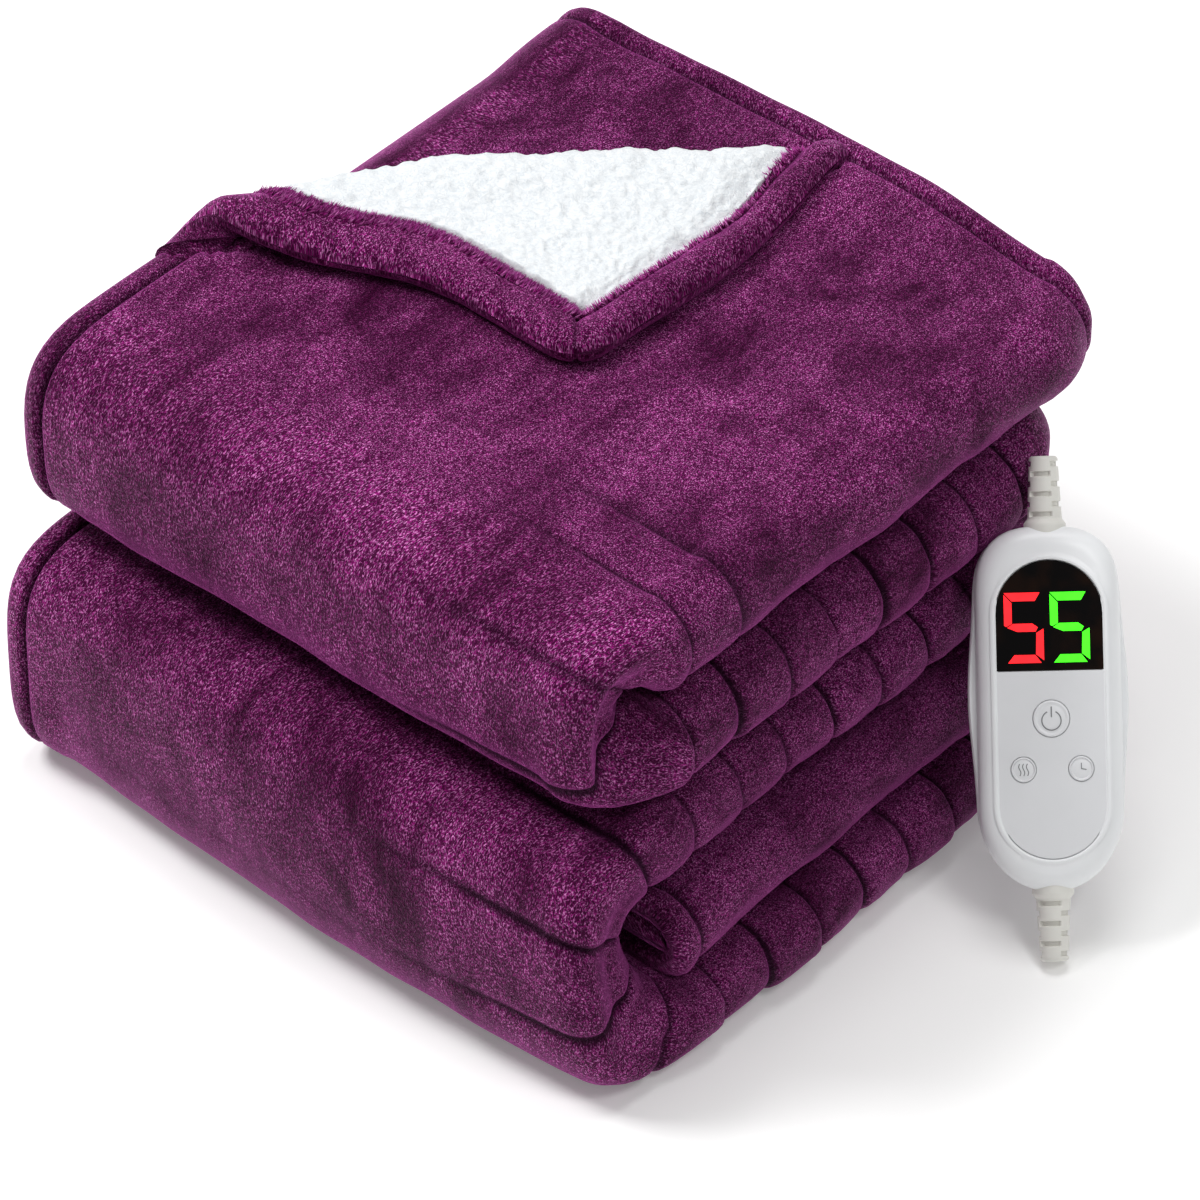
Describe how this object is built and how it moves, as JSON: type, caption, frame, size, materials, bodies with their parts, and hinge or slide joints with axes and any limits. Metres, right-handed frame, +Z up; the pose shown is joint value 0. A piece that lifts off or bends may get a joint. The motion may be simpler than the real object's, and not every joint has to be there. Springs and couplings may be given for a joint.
{
  "type": "heated throw blanket",
  "caption": "Folded heated throw with a flannel face, a sherpa lining shown at a turned-back corner, and a wired handset with a display and push buttons.",
  "frame": {"origin": "middle of the bounding box at the level of the surface it rests on", "axes": "+Z up, -Y out of the stack's front folds, +X out of its closed side, where the handset leans"},
  "size_m": [0.4238, 0.36, 0.2306],
  "materials": {
    "flannel": "plum flannel with a short sheared pile",
    "sherpa": "white sherpa fleece",
    "housing": "satin white moulding",
    "panel": "satin pale grey film",
    "window": "glossy black window",
    "button": "satin pale grey moulding",
    "relief": "matt cream flexible moulding"
  },
  "bodies": {
    "throw_and_handset": {"throw": "flannel", "sherpa_panel": "sherpa", "front_shell": "housing", "rear_shell": "housing", "face_panel": "panel", "display_window": "window", "upper_relief": "relief", "lower_relief": "relief"},
    "power": {"power_button": "button"},
    "heat": {"heat_button": "button"},
    "timer": {"timer_button": "button"}
  },
  "joints": [
    {"name": "power_press", "type": "slide", "parent": "throw_and_handset", "child": "power", "axis": [-0.5147, 0.552, -0.6561], "range_m": [0, 0.0007], "stiffness_N_per_m": 300},
    {"name": "heat_press", "type": "slide", "parent": "throw_and_handset", "child": "heat", "axis": [-0.5147, 0.552, -0.6561], "range_m": [0, 0.0007], "stiffness_N_per_m": 300},
    {"name": "timer_press", "type": "slide", "parent": "throw_and_handset", "child": "timer", "axis": [-0.5147, 0.552, -0.6561], "range_m": [0, 0.0007], "stiffness_N_per_m": 300}
  ]
}
